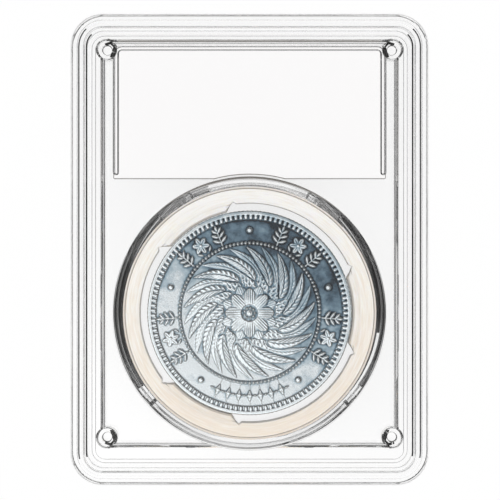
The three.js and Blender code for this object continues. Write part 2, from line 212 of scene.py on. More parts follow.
class StageSizes(bpy.types.PropertyGroup):
    """Sizes and levels of the studio."""

    floor_width: length("Floor width", "Width of the square floor", 3000.0)
    floor_drop: length("Floor drop", "Gap between the floor and the slab", 0.02)
    floor_share: fraction("Floor share", "Share of the floor that shows as plain colour", 0.85)
    room: fraction("Room", "Strength of the room as glass and metal show it", 0.03)
    box_way: direction("Overhead way", "Way to the middle of the overhead light", (-0.16, -0.2, 0.966))
    box_low: fraction("Overhead edge", "Cosine of the angle where the overhead light ends", 0.68)
    box_high: fraction("Overhead full", "Cosine of the angle within which it is full", 0.9)
    box_glow: brightness("Overhead glow", "Strength of the light as glass and metal show it", 1.22)
    hole_way: direction("Camera hole way", "Way to the dark hole round the camera", (0.09, 0.12, 0.989))
    hole_low: fraction("Camera hole edge", "Cosine of the angle where the hole begins", 0.95)
    hole_high: fraction("Camera hole full", "Cosine of the angle where it is fully dark", 0.99)
    hole_glow: fraction("Camera hole glow", "Share of the overhead light in the hole", 0.44)
    mirrored: fraction("Mirrored share", "Share of floor and room in rays mirrored three times", 0.05)
    sheet_foot: length("Sheet foot", "Height of the lower edges of reflectors and flags", 0.2)
    card_glow: brightness("Reflector glow", "Strength of the reflectors", 1.0)
    card_distance: length("Reflector distance", "From the middle to the reflectors", 80)
    card_height: length("Reflector height", "Height of the reflectors", 26)
    head_left: length("Head reflector left", "Reach of the head reflector to the left", 31)
    head_right: length("Head reflector right", "Reach of the head reflector to the right", 100)
    foot_left: length("Foot reflector left", "Reach of the foot reflector to the left", 95)
    foot_right: length("Foot reflector right", "Reach of the foot reflector to the right", 360)
    flag_distance: length("Flag distance", "From the middle to the flags at the sides", 48)
    flag_height: length("Flag height", "Height of the left and right flags", 30)
    flag_far: length("Flag far end", "From the middle to their far ends", 60)
    left_flag_near: length("Left flag near end", "From the middle to its near end", 45)
    right_flag_near: length("Right flag near end", "From the middle to its near end", 16)
    low_flag_near: length("Low flag near end", "From the middle to its near end", 44)
    low_flag_height: length("Low flag height", "Height of the low flag beside the right one", 5.0)
    camera_distance: length("Camera distance", "From the camera to the top of the slab", 300)
    camera_width: length("Camera width", "Width seen at the height of the slab's top", 92.18)
    camera_x: offset("Camera X", "Place of the camera", 0.074)
    camera_y: offset("Camera Y", "Place of the camera", -0.11)
    bounces: number("Bounces", "How often light bounces or passes a surface", 32)
    glossy_bounces: number("Glossy bounces", "How often light is mirrored", 16)


class SlabColours(bpy.types.PropertyGroup):
    """Colours of the parts."""

    clear: colour("Clear plastic", "Body colour of the clear plastic", linear("ffffff"))
    ring: colour("Ring", "Body colour of the soft ring", linear("fdfaf6"))
    # Colour of the flow streaks, and also of the painted shade that darkens the ring towards its foot.
    ring_streak_and_shade: colour("Ring shade", "Colour of the ring's flow streaks", linear("efe4d6"))
    # Painted shade: a grey-brown laid on the ring's steep walls, where shade falls.
    ring_wall_shade: colour("Ring wall", "Colour of the ring's steep walls", linear("a0968b"))
    silver: colour("Silver", "Bare silver on the high points", linear("f3fafd"))
    pale: colour("Pale toning", "Thin toning that still shines", linear("b2c6d1"))
    toning: colour("Toning", "Blue-grey toning in the field", linear("7691a2"))
    deep: colour("Deep toning", "Thick toning beside the devices", linear("4a6172"))
    film: colour("Black film", "Nearly black film in the deepest corners", linear("232d36"))
    card: colour("Card", "White label card", linear("fffefe"))
    # Painted shade: the grey laid on the card's cut edges and bevels.
    cut: colour("Cut edge", "Grey core of the card at its cut edges", linear("8d8a86"))
    floor: colour("Floor", "Pale studio floor", linear("ffffff"))


def mesh_object(name, points, polygons, soft=True):
    """Makes an object of an array of points and a list of face arrays. The faces of an array have the same
    number of corners, and soft faces are shaded smooth."""
    mesh = bpy.data.meshes.new(name)
    sizes = np.concatenate([np.full(len(p), p.shape[1], dtype=np.int32) for p in polygons])
    starts = np.concatenate([[0], np.cumsum(sizes)[:-1]]).astype(np.int32)
    loops = np.concatenate([p.ravel() for p in polygons]).astype(np.int32)
    mesh.vertices.add(len(points))
    mesh.vertices.foreach_set("co", points.astype(np.float32).ravel())
    mesh.loops.add(len(loops))
    mesh.loops.foreach_set("vertex_index", loops)
    mesh.polygons.add(len(sizes))
    mesh.polygons.foreach_set("loop_start", starts)
    mesh.polygons.foreach_set("use_smooth", np.full(len(sizes), soft))
    mesh.update(calc_edges=True)
    mesh.validate()
    made = bpy.data.objects.new(name, mesh)
    bpy.context.scene.collection.objects.link(made)
    return made


def grid_faces(rows, columns, close_rows, close_columns):
    """Quads between neighbouring rows and columns of a grid of points numbered row by row."""
    r = np.arange(rows if close_rows else rows - 1)
    c = np.arange(columns if close_columns else columns - 1)
    here, across = np.meshgrid(r, c, indexing="ij")
    up = (here + 1) % rows
    right = (across + 1) % columns
    quads = [here * columns + across, here * columns + right, up * columns + right, up * columns + across]
    return np.stack([q.ravel() for q in quads], axis=1)


def skin(name, rows, closed):
    """A closed surface through loops of points. Closed, the last loop joins the first; open, flat faces
    close both ends."""
    count, around = rows.shape[:2]
    polygons = [grid_faces(count, around, closed, True)]
    if not closed:
        ring = np.arange(around)
        polygons.append(ring[None, ::-1])
        polygons.append((count - 1) * around + ring[None, :])
    return mesh_object(name, rows.reshape(-1, 3), polygons)


def softened(section, closed=True, steps=5):
    """Rounds the corners of a section of (across, height, radius): each corner becomes an arc of so many
    steps that touches both sides. One step gives a bevel."""
    points = []
    count = len(section)
    for k, (x, z, radius) in enumerate(section):
        here = np.array([x, z])
        if radius <= 0 or (not closed and k in (0, count - 1)):
            points.append(here)
            continue
        before = np.array(section[k - 1][:2]) - here
        after = np.array(section[(k + 1) % count][:2]) - here
        before_unit = before / np.linalg.norm(before)
        after_unit = after / np.linalg.norm(after)
        half = math.acos(float(np.clip(before_unit @ after_unit, -1, 1))) / 2
        reach = radius / math.tan(half)
        between = before_unit + after_unit
        centre = here + between / np.linalg.norm(between) * radius / math.sin(half)
        first = here + before_unit * reach - centre
        last = here + after_unit * reach - centre
        start = math.atan2(first[1], first[0])
        sweep = math.atan2(last[1], last[0]) - start
        sweep = (sweep + math.pi) % (2 * math.pi) - math.pi
        angles = start + sweep * np.linspace(0, 1, steps + 1)
        points.extend(centre + radius * np.stack([np.cos(angles), np.sin(angles)], axis=1))
    return np.array(points)


def rectangle_rows(half, corner, section, steps=12, middle=(0.0, 0.0)):
    """One loop around a rounded rectangle for each (inset, height) of a section: the loop moves in by the
    inset and its corner radius shrinks by it, down to 0.05 mm."""
    inset = section[:, 0][:, None, None]
    radius = np.maximum(corner - inset, 0.05 * MM)
    quarter = np.arange(4)[None, :, None]
    angle = (quarter + np.linspace(0, 1, steps + 1)[None, None, :]) * math.pi / 2
    sign_x = np.array([1, -1, -1, 1])[None, :, None]
    sign_y = np.array([1, 1, -1, -1])[None, :, None]
    x = sign_x * (half[0] - inset - radius) + radius * np.cos(angle) + middle[0]
    y = sign_y * (half[1] - inset - radius) + radius * np.sin(angle) + middle[1]
    z = np.broadcast_to(section[:, 1][:, None, None], x.shape)
    return np.stack([x, y, z], axis=-1).reshape(len(section), -1, 3)


def turned_rows(section, middle, steps):
    """One circle about a vertical axis for each (radius, height) of a section."""
    angle = np.linspace(0, 2 * math.pi, steps, endpoint=False)[None, :]
    radius = section[:, 0][:, None]
    x = middle[0] + radius * np.cos(angle)
    y = middle[1] + radius * np.sin(angle)
    z = np.broadcast_to(section[:, 1][:, None], x.shape)
    return np.stack([x, y, z], axis=-1)


def stroke_rows(path, normal, section, end_steps=8):
    """One loop around an open path for each (half width, height) of a section: out along one side, round
    the end, back along the other side and round the start."""
    half = section[:, 0][:, None, None]
    turn = np.linspace(0, math.pi, end_steps + 1)[1:-1][:, None]
    caps = []
    for place, out in ((path[-1], normal[-1]), (path[0], -normal[0])):
        forward = np.array([-out[1], out[0]])
        caps.append(place + half * (np.cos(turn) * out + np.sin(turn) * forward))
    sides = [path + half * normal, caps[0], path[::-1] - half * normal[::-1], caps[1]]
    flat = np.concatenate(sides, axis=1)
    z = np.broadcast_to(section[:, 1][:, None, None], (*flat.shape[:2], 1))
    return np.concatenate([flat, z], axis=2)


def combined(base, steps):
    """Joins or cuts the base with each tool in turn, removes the tools, and gives the faces smooth normals
    that keep the flats flat."""
    for operation, tool in steps:
        change = base.modifiers.new(tool.name, "BOOLEAN")
        change.operation = operation
        change.solver = "MANIFOLD"
        change.object = tool
    settle(base)
    for _, tool in steps:
        bpy.data.objects.remove(tool)
    base.data.polygons.foreach_set("use_smooth", np.ones(len(base.data.polygons), dtype=bool))
    base.data.set_sharp_from_angle(angle=SHARP)
    shade = base.modifiers.new("flats", "WEIGHTED_NORMAL")
    shade.weight = 100
    shade.keep_sharp = True
    settle(base)
    return base


def settle(target):
    """Replaces an object's mesh by what its modifiers make of it, and removes the modifiers."""
    graph = bpy.context.evaluated_depsgraph_get()
    graph.update()
    result = bpy.data.meshes.new_from_object(target.evaluated_get(graph), depsgraph=graph)
    old = target.data
    target.modifiers.clear()
    target.data = result
    result.name = target.name
    bpy.data.meshes.remove(old)


def facing(section, side):
    """A section in the order that turns its skin outwards: reversed where side is -1."""
    return section if side > 0 else section[::-1]


def standing_rib(root, top, side, width, foot, bevel):
    """Section of a rib of a width from the plane at root to the height top, with flared feet and a
    bevelled top. side is +1 where the rib stands up and -1 where it hangs."""
    sunk = root - side * SUNK
    skim = root - side * SKIM
    neck = skim + side * foot
    shoulder = top - side * bevel * STEEP_TIP
    points = np.array([
        (-foot, sunk), (-foot, skim), (0.0, neck), (0.0, shoulder), (bevel, top), (width - bevel, top),
        (width, shoulder), (width, neck), (width + foot, skim), (width + foot, sunk),
    ])
    return facing(points, side)


def post_places(sizes):
    """The middles of the four posts, the upper two first."""
    x = sizes.pocket_x - sizes.post_x
    top = sizes.pocket_top - sizes.post_y
    bottom = sizes.post_y - sizes.pocket_bottom
    return [(side * x, y) for y in (top, bottom) for side in (-1, 1)]


def label_path(sizes):
    """The middle line of the U-shaped rib, with the normal at each point: up one side, a quarter circle, a
    straight top, a quarter circle and down the other side."""
    out = float(CARD_HIGH[0]) - sizes.label_inset + sizes.label_rib / 2
    top = float(CARD_HIGH[1]) - sizes.label_inset + sizes.label_rib / 2
    low = float(CARD_LOW[1]) + sizes.label_end
    radius = sizes.label_corner - sizes.label_rib / 2
    turn = np.linspace(0, math.pi / 2, 9)
    right_normal = np.stack([np.cos(turn), np.sin(turn)], axis=1)
    right = np.array([out - radius, top - radius]) + radius * right_normal
    left = right[::-1] * [-1, 1]
    left_normal = right_normal[::-1] * [-1, 1]
    path = np.concatenate([[[out, low]], right, left, [[-out, low]]])
    normal = np.concatenate([[[1.0, 0.0]], right_normal, left_normal, [[-1.0, 0.0]]])
    return path, normal


def shell_ribs(sizes, root, parting, label_tip, side):
    """The pocket rib, label rib, posts and well wall of one shell, as separate closed surfaces."""
    foot, tip = sizes.foot, sizes.tip
    sunk = root - side * SUNK
    skim = root - side * SKIM
    neck = skim + side * foot
    half_y = (sizes.pocket_top + sizes.pocket_bottom) / 2
    middle = (0.0, (sizes.pocket_top - sizes.pocket_bottom) / 2)
    pocket = standing_rib(root, parting, side, sizes.rib, foot, tip)
    rows = rectangle_rows((sizes.pocket_x, half_y), sizes.pocket_corner, pocket, steps=8, middle=middle)
    made = [skin("pocket", rows, True)]

    half = sizes.label_rib / 2
    shoulder = label_tip - side * tip * STEEP_TIP
    label = np.array([
        (0.0, sunk), (half + foot, sunk), (half + foot, skim), (half, neck), (half, shoulder),
        (half - tip, label_tip), (0.0, label_tip),
    ])
    path, normal = label_path(sizes)
    made.append(rib_object("label", stroke_rows(path, normal, facing(label, side))))

    boss = softened([
        (sizes.boss + foot, sunk, 0), (sizes.boss + foot, skim, 0), (sizes.boss, neck, 0),
        (sizes.boss, parting, tip), (sizes.boss / 2, parting, 0),
    ], closed=False, steps=1)
    for place in post_places(sizes):
        made.append(skin("boss", turned_rows(facing(boss, side), place, POST_STEPS), False))

    inner = sizes.well - 0.2 * MM
    well = np.array([
        (inner, sunk), (sizes.well_outer, sunk), (sizes.well_outer, parting), (sizes.well_mouth, parting),
        (inner, root),
    ])
    made.append(skin("well", turned_rows(facing(well, side), WELL, WELL_STEPS), True))
    return made


def rib_object(name, rows):
    """Skins a stroke whose first and last loops fold onto the path, and merges the folded points."""
    count, around = rows.shape[:2]
    made = mesh_object(name, rows.reshape(-1, 3), [grid_faces(count, around, False, True)])
    weld = made.modifiers.new("weld", "WELD")
    weld.merge_threshold = 0.001 * MM
    settle(made)
    return made


def notch(post, z, across, along, turn, long, wide):
    """A roof-shaped cut into the underside at height z, half as high as it is wide. It lies across from a
    post towards the middle and along it towards the slab's end, and is turned from the slab's width; its
    lengths are in mm. The four posts mirror it."""
    left = math.copysign(1.0, -post[0])
    up = math.copysign(1.0, post[1])
    turn = left * up * turn
    middle = np.array([post[0] + left * across * MM, post[1] + up * along * MM])
    way = np.array([math.cos(turn), math.sin(turn)]) * long * MM / 2
    side = np.array([-math.sin(turn), math.cos(turn)]) * wide * MM / 2
    below = z - 0.2 * MM
    roof = z + wide * MM / 2
    points = []
    for end in (-1, 1):
        for share, height in ((-1, below), (1, below), (1, z), (0, roof), (-1, z)):
            points.append((*(middle + end * way + share * side), height))
    ends = np.array([[0, 1, 2, 3, 4], [9, 8, 7, 6, 5]])
    sides = np.array([[k, 5 + k, 5 + (k + 1) % 5, (k + 1) % 5] for k in range(5)])
    return mesh_object("notch", np.array(points), [ends, sides], soft=False)


def well_room(sizes, root, parting, side):
    """The space of the ring between a window and beyond the parting plane, for cutting ribs back."""
    section = np.array([
        (sizes.well - BEYOND, root), (sizes.well, root), (sizes.well_mouth, parting),
        (sizes.well_mouth, parting + side * BEYOND),
    ])
    return skin("well_room", turned_rows(facing(section, side), WELL, WELL_STEPS), False)


def half_sizes():
    """Half the slab's width and height."""
    return float(FRONT_HIGH[0]), float(FRONT_HIGH[1])


def outline_block(name, sizes, points, side, steps):
    """A solid with the slab's outline, from an open section of (inset, height, corner radius)."""
    section = facing(softened(points, closed=False, steps=steps), -side)
    return skin(name, rectangle_rows(half_sizes(), sizes.corner, section), False)


def outline_frame(name, sizes, points, steps=5):
    """A bar all round the slab with a closed section of (inset, height, corner radius)."""
    return skin(name, rectangle_rows(half_sizes(), sizes.corner, softened(points, steps=steps)), True)


def wall_plate(sizes, face, parting, side):
    """The solid block of one shell, rounded at the outer face and chamfered at the parting line."""
    return outline_block("plate", sizes, [
        (sizes.chamfer * 2, parting, 0), (sizes.chamfer, parting, 0),
        (0.0, parting - side * sizes.chamfer, 0), (0.0, face, sizes.edge), (sizes.wall, face, 0),
    ], side, steps=6)


def wall_room(sizes, root, parting, side):
    """The space between the outer walls, bevelled where they meet the window."""
    return outline_block("room", sizes, [
        (sizes.wall, parting + side * BEYOND, 0), (sizes.wall, root, sizes.ceiling_bevel),
        (sizes.wall + BEYOND, root, 0),
    ], side, steps=1)


def tongue_bar(name, sizes, gap, start, end, outer, inner):
    """The tongue, widened by a gap on both sides: a bar from start to end with two bevels there."""
    first = sizes.tongue_inset - gap
    last = sizes.tongue_inset + sizes.tongue_width + gap
    return outline_frame(name, sizes, [
        (first, start, 0), (first, end, outer), (last, end, inner), (last, start, 0),
    ], steps=1)


def add_node(tree, kind, inputs=None, **settings):
    """Adds a node, sets its properties, and sets or links its inputs by name or number."""
    made = tree.nodes.new(kind)
    for name, value in settings.items():
        setattr(made, name, value)
    for key, value in (inputs or {}).items():
        if isinstance(value, bpy.types.NodeSocket):
            tree.links.new(value, made.inputs[key])
        else:
            made.inputs[key].default_value = value
    return made


def maths(tree, operation, *values, **settings):
    """The result of a Math node on numbers and sockets."""
    made = add_node(tree, "ShaderNodeMath", dict(enumerate(values)), operation=operation, **settings)
    return made.outputs["Value"]


def vector_maths(tree, operation, output, *values):
    """The named output of a Vector Math node on vectors and sockets."""
    made = add_node(tree, "ShaderNodeVectorMath", dict(enumerate(values)), operation=operation)
    return made.outputs[output]


def ranged(tree, value, old, new, **settings):
    """A value carried over from one range to another."""
    inputs = {"Value": value, "From Min": old[0], "From Max": old[1], "To Min": new[0], "To Max": new[1]}
    return add_node(tree, "ShaderNodeMapRange", inputs, **settings).outputs["Result"]


def noise(tree, vector, scale, detail, roughness=0.5):
    """Noise from 0 to 1 with so many features to the metre."""
    inputs = {"Vector": vector, "Scale": scale, "Detail": detail, "Roughness": roughness}
    return add_node(tree, "ShaderNodeTexNoise", inputs).outputs["Fac"]


def tinted(tree, share, first, second):
    """A colour between two others."""
    inputs = {"Factor": share, "A": first, "B": second}
    return add_node(tree, "ShaderNodeMix", inputs, data_type="RGBA").outputs["Result"]


def bumped(tree, shader, height, strength, distance):
    """Gives the shader a normal bent by a height."""
    bump = add_node(tree, "ShaderNodeBump", {"Height": height, "Strength": strength, "Distance": distance})
    tree.links.new(bump.outputs["Normal"], shader.inputs["Normal"])


def new_material(name, inputs, kind="ShaderNodeBsdfPrincipled"):
    """A node material of one shader with the given inputs: the material, its tree and the shader."""
    made = bpy.data.materials.new(name)
    made.use_nodes = True
    tree = made.node_tree
    tree.nodes.clear()
    shader = add_node(tree, kind, inputs)
    add_node(tree, "ShaderNodeOutputMaterial", {"Surface": shader.outputs[0]})
    return made, tree, shader


def blend_surface(tree, share, first, second):
    """Gives a material a mix of two shaders as its surface."""
    mix = add_node(tree, "ShaderNodeMixShader", {0: share, 1: first.outputs[0], 2: second.outputs[0]})
    output = next(node for node in tree.nodes if node.type == "OUTPUT_MATERIAL")
    tree.links.new(mix.outputs["Shader"], output.inputs["Surface"])


def object_place(tree):
    """Place in the object's own metres."""
    return add_node(tree, "ShaderNodeTexCoord").outputs["Object"]


def attribute(tree, name):
    """A number that a piece keeps for each point or face."""
    return add_node(tree, "ShaderNodeAttribute", attribute_name=name).outputs["Fac"]


def clear_plastic(colours):
    """Clear plastic, injection moulded in a polished tool: glassy, index 1.5, with the faint waviness of
    the melt's flow, which lets the lines behind it swim a little."""
    made, tree, shader = new_material("clear injection-moulded plastic", {
        "Base Color": colours.clear, "Roughness": 0.0, "IOR": 1.5, "Transmission Weight": 1.0,
    })
    flow = noise(tree, object_place(tree), scale=90.0, detail=1.0)
    bumped(tree, shader, flow, strength=0.06, distance=0.1 * MM)
    return made


def soft_ring_material(colours):
    """Translucent thermoplastic rubber, moulded: cream, satin, with streaks that follow the flow round the
    ring, painted shade as a warmer, darker tint towards the foot, and painted shade on the steep walls."""
    made, tree, shader = new_material("moulded translucent rubber", {
        "Roughness": 0.34, "IOR": 1.49, "Subsurface Weight": 0.5, "Subsurface Radius": (1.0, 0.9, 0.7),
        "Subsurface Scale": 1.5 * MM,
    })
    centred = vector_maths(tree, "SUBTRACT", "Vector", object_place(tree), (WELL[0], WELL[1], MID_Z))
    split = add_node(tree, "ShaderNodeSeparateXYZ", {"Vector": centred}).outputs
    reach = vector_maths(tree, "LENGTH", "Value", centred)
    slow_turn = maths(tree, "MULTIPLY", maths(tree, "ARCTAN2", split["Y"], split["X"]), 1.5 * MM)
    bent = add_node(tree, "ShaderNodeCombineXYZ", {"X": reach, "Y": slow_turn, "Z": split["Z"]})
    streak = noise(tree, bent.outputs["Vector"], scale=3600.0, detail=3.0)
    streaks = ranged(tree, streak, old=(0.4, 0.8), new=(0.0, 0.8), clamp=False)
    # Painted shade: the ring turns warmer and darker towards its foot, as if lit from the upper left.
    painted_foot_shade = ranged(tree, split["Y"], old=(22 * MM, -22 * MM), new=(-0.15, 0.75))
    cream = maths(tree, "ADD", streaks, painted_foot_shade, use_clamp=True)
    tint = tinted(tree, cream, colours.ring, colours.ring_streak_and_shade)
    # Painted shade: the steep walls take the grey-brown wall colour.
    shaded = tinted(tree, attribute(tree, "wall"), tint, colours.ring_wall_shade)
    tree.links.new(shaded, shader.inputs["Base Color"])
    bumped(tree, shader, streak, strength=0.3, distance=0.05 * MM)
    return made


def silver_material(colours):
    """Struck silver with an old blue-grey toning: worn high points shine, recesses keep the dark sulphide
    film, and it lightens towards the lower left: thinner film, and a painted highlight from that side."""
    made, tree, shader = new_material("struck silver with toning", {"Metallic": 1.0})
    place = object_place(tree)
    centred = vector_maths(tree, "SUBTRACT", "Vector", place, (WELL[0], WELL[1], 0.0))
    # Painted highlight: the lower left is lightened in the colour, besides the toning thinning there.
    fall = vector_maths(tree, "DOT_PRODUCT", "Value", centred, (-0.55, -0.83, 0.0))
    thin_toning_and_highlight = ranged(
        tree, fall, old=(-16 * MM, 15 * MM), new=(0.15, 0.7), interpolation_type="SMOOTHSTEP",
    )
    cloud = noise(tree, place, scale=340.0, detail=8.0, roughness=0.62)
    patches = ranged(tree, cloud, old=(0.3, 0.7), new=(-0.19, 0.15))
    wear = 0.3
    worn = maths(tree, "MULTIPLY_ADD", attribute(tree, "relief"), wear, thin_toning_and_highlight)
    bare = maths(tree, "ADD", worn, patches)
    ramp = add_node(tree, "ShaderNodeValToRGB", {"Fac": bare})
    stops = (
        (0.0, colours.film), (0.1, colours.deep), (0.23, colours.toning), (0.38, colours.pale),
        (0.6, colours.silver),
    )
    for position, _ in stops[1:-1]:
        ramp.color_ramp.elements.new(position)
    for element, (position, shade) in zip(ramp.color_ramp.elements, stops):
        element.position = position
        element.color = shade
    tree.links.new(ramp.outputs["Color"], shader.inputs["Base Color"])
    gloss = ranged(tree, bare, old=(0.1, 0.8), new=(0.36, 0.2))
    tree.links.new(gloss, shader.inputs["Roughness"])
    grain = noise(tree, place, scale=3200.0, detail=3.0)
    bumped(tree, shader, grain, strength=0.35, distance=0.03 * MM)
    return made


def card_material(colours):
    """Uncoated white card, cut from sheet: matt, with a faint fibre grain, and its cut edges painted grey
    as painted shade."""
    made, tree, shader = new_material("uncoated white card", {"Roughness": 0.85})
    # Painted shade: the cut attribute greys the edges and bevels.
    tint = tinted(tree, attribute(tree, "cut"), colours.card, colours.cut)
    tree.links.new(tint, shader.inputs["Base Color"])
    fibre = noise(tree, object_place(tree), scale=2500.0, detail=4.0)
    bumped(tree, shader, fibre, strength=0.15, distance=0.02 * MM)
    return made


def dress(piece, material, body, node):
    """Gives a piece its material and its body, and hides the CAD node that it stands for."""
    piece.data.materials.clear()
    piece.data.materials.append(material)
    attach(piece, body)
    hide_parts(node)


def mark(piece, name, domain, values):
    """Keeps a number for each point or face of a piece as a named attribute."""
    made = piece.data.attributes.new(name, "FLOAT", domain)
    made.data.foreach_set("value", values.ravel().astype(np.float32))


def flat_sheet(name, points, material):
    """A flat four-sided sheet, joined to no body."""
    sheet = mesh_object(name, np.array(points, dtype=float), [np.array([[0, 1, 2, 3]])], soft=False)
    sheet.data.materials.append(material)
    return sheet


def upright_sheet(name, start, end, low, high, material):
    """An upright sheet between two places of the floor that only glass and metal show."""
    sheet = flat_sheet(name, [(*start, low), (*end, low), (*end, high), (*start, high)], material)
    sheet.visible_camera = False
    sheet.visible_diffuse = False
    sheet.visible_shadow = False


def light_path(tree, name):
    """What the renderer knows about the ray that looks."""
    return add_node(tree, "ShaderNodeLightPath").outputs[name]


def glass_rays(tree):
    """1 for rays that glass or metal sends on."""
    mirrored = light_path(tree, "Is Glossy Ray")
    passed = light_path(tree, "Is Transmission Ray")
    return maths(tree, "MAXIMUM", mirrored, passed)


def mirrored_share(tree, share):
    """1 for rays mirrored at most once, falling to the share for those mirrored three times."""
    return ranged(tree, light_path(tree, "Glossy Depth"), (1.0, 3.0), (1.0, share))


def lay_floor(sizes, shade):
    """The floor. A part of its colour shows as a plain glow to the camera, metal and glass, less of it in
    rays mirrored several times; the rest is lit and keeps the object's shadow."""
    made, tree, shader = new_material("pale studio floor", {"Base Color": shade, "Roughness": 0.9})
    seen = maths(tree, "MAXIMUM", light_path(tree, "Is Camera Ray"), glass_rays(tree))
    inputs = {"Color": shade, "Strength": mirrored_share(tree, sizes.mirrored)}
    plain = add_node(tree, "ShaderNodeEmission", inputs)
    blend_surface(tree, maths(tree, "MULTIPLY", seen, sizes.floor_share), shader, plain)
    half = sizes.floor_width / 2
    signs = ((-1, -1), (1, -1), (1, 1), (-1, 1))
    flat_sheet("floor", [(x * half, y * half, -sizes.floor_drop) for x, y in signs], made)


def stand_reflectors(sizes):
    """White reflectors beyond the head and the foot of the slab, which its edges show as light lines."""
    white, _, _ = new_material("white reflector", {"Strength": sizes.card_glow}, "ShaderNodeEmission")
    for name, left, right, y in (
        ("head_reflector", -sizes.head_left, sizes.head_right, sizes.card_distance),
        ("foot_reflector", -sizes.foot_left, sizes.foot_right, -sizes.card_distance),
    ):
        upright_sheet(name, (left, y), (right, y), sizes.sheet_foot, sizes.card_height, white)


def stand_flags(sizes):
    """Black flags at the sides, which its edges show as dark lines. Only mirrored rays see them."""
    dark, tree, shader = new_material("black flag", {
        "Base Color": BLACK, "Roughness": 1.0, "Specular IOR Level": 0.0,
    })
    mirrored = maths(tree, "GREATER_THAN", light_path(tree, "Glossy Depth"), 0.5)
    blend_surface(tree, mirrored, add_node(tree, "ShaderNodeBsdfTransparent"), shader)
    side = sizes.flag_distance
    for name, x, near, far, high in (
        ("left_flag", -side, -sizes.left_flag_near, sizes.flag_far, sizes.flag_height),
        ("right_flag", side, -sizes.right_flag_near, sizes.flag_far, sizes.flag_height),
        ("low_flag", side, -sizes.low_flag_near, -sizes.right_flag_near, sizes.low_flag_height),
    ):
        upright_sheet(name, (x, near), (x, far), sizes.sheet_foot, high, dark)


def light_room(scene, sizes):
    """The world. It lights everything as plain white; glass and metal show a dim room with a wide overhead
    light, a darker hole in it round the camera, and less of both in rays mirrored several times."""
    world = bpy.data.worlds.new("studio")
    scene.world = world
    world.use_nodes = True
    tree = world.node_tree
    tree.nodes.clear()
    way = add_node(tree, "ShaderNodeTexCoord").outputs["Generated"]
    shown = mirrored_share(tree, sizes.mirrored)
    for middle, old, new in (
        (sizes.box_way, (sizes.box_low, sizes.box_high), (sizes.room, sizes.box_glow)),
        (sizes.hole_way, (sizes.hole_low, sizes.hole_high), (1.0, sizes.hole_glow)),
    ):
        near = vector_maths(tree, "DOT_PRODUCT", "Value", way, middle)
        part = ranged(tree, near, old, new, interpolation_type="SMOOTHSTEP")
        shown = maths(tree, "MULTIPLY", part, shown)
    seen = add_node(tree, "ShaderNodeMix", {"Factor": glass_rays(tree), "A": 1.0, "B": shown})
    inputs = {"Color": WHITE, "Strength": seen.outputs["Result"]}
    sky = add_node(tree, "ShaderNodeBackground", inputs)
    add_node(tree, "ShaderNodeOutputWorld", {"Surface": sky.outputs["Background"]})


def set_camera(scene, sizes):
    """The camera, straight above the slab as in the photograph."""
    data = bpy.data.cameras.new("camera")
    data.sensor_width = 36.0
    data.lens = data.sensor_width * sizes.camera_distance / sizes.camera_width
    data.clip_start = 0.01
    data.clip_end = 10.0
    camera = bpy.data.objects.new("camera", data)
    camera.location = (sizes.camera_x, sizes.camera_y, float(FRONT_HIGH[2]) + sizes.camera_distance)
    scene.collection.objects.link(camera)
    scene.camera = camera


class SLAB_OT_stage(bpy.types.Operator):
    """Makes the pale floor, the studio round it, and the camera"""

    bl_idname = "slab.stage"
    bl_label = "Stage"

    def execute(self, context):
        scene = context.scene
        sizes = scene.slab_stage
        lay_floor(sizes, scene.slab_colours.floor)
        stand_reflectors(sizes)
        stand_flags(sizes)
        light_room(scene, sizes)
        set_camera(scene, sizes)
        scene.view_settings.view_transform = "Standard"
        scene.cycles.max_bounces = sizes.bounces
        scene.cycles.transmission_bounces = sizes.bounces
        scene.cycles.glossy_bounces = sizes.glossy_bounces
        return {"FINISHED"}


def shell(name, sizes, levels, side, raised, later):
    """One shell. levels are its outer face, its window's inner face, its side of the parting line and the
    tip of its label rib. Raised pieces and ribs are joined on, the well is cleared, and the later steps
    follow. It casts no shadow, so that light reaches what it holds."""
    face, root, seam, label_tip = levels
    ribs = shell_ribs(sizes, root, seam, label_tip, side)
    made = combined(wall_plate(sizes, face, seam, side), [
        ("DIFFERENCE", wall_room(sizes, root, seam, side)),
        *(("UNION", piece) for piece in (*raised, *ribs)),
        ("DIFFERENCE", well_room(sizes, root, seam, side)),
        *later,
    ])
    made.name = name
    made.visible_shadow = False
    made.visible_diffuse = False
    return made


def back_shell(sizes, face, root, parting):
    """The back shell, with a ridge under it, a tongue round its wall and a socket in each post."""
    seam = parting - sizes.film / 2
    first = sizes.lip_inset + sizes.lip_width + sizes.ridge_gap
    last = first + sizes.ridge_width
    ridge = outline_frame("ridge", sizes, [
        (first + sizes.ridge_slope, 0.0, sizes.ridge_round), (first, face, 0), (first, face + SUNK, 0),
        (last, face + SUNK, 0), (last, face, 0), (last - sizes.ridge_slope, 0.0, sizes.ridge_round),
    ])
    top = parting + sizes.tongue_height
    tongue = tongue_bar("tongue", sizes, 0.0, seam - SUNK, top, sizes.tongue_bevel, sizes.tongue_bevel)
    radius = sizes.pin + sizes.pin_gap
    bottom = parting - sizes.pin_reach - sizes.socket_room
    socket = np.array([(radius, bottom), (radius, parting + BEYOND)])
    holes = [skin("socket", turned_rows(socket, place, PIN_STEPS), False) for place in post_places(sizes)]
    levels = (face, root, seam, float(CARD_LOW[2]) - sizes.card_gap)
    later = [("DIFFERENCE", hole) for hole in holes]
    return shell("clear_back_shell", sizes, levels, UP, [ridge, tongue], later)


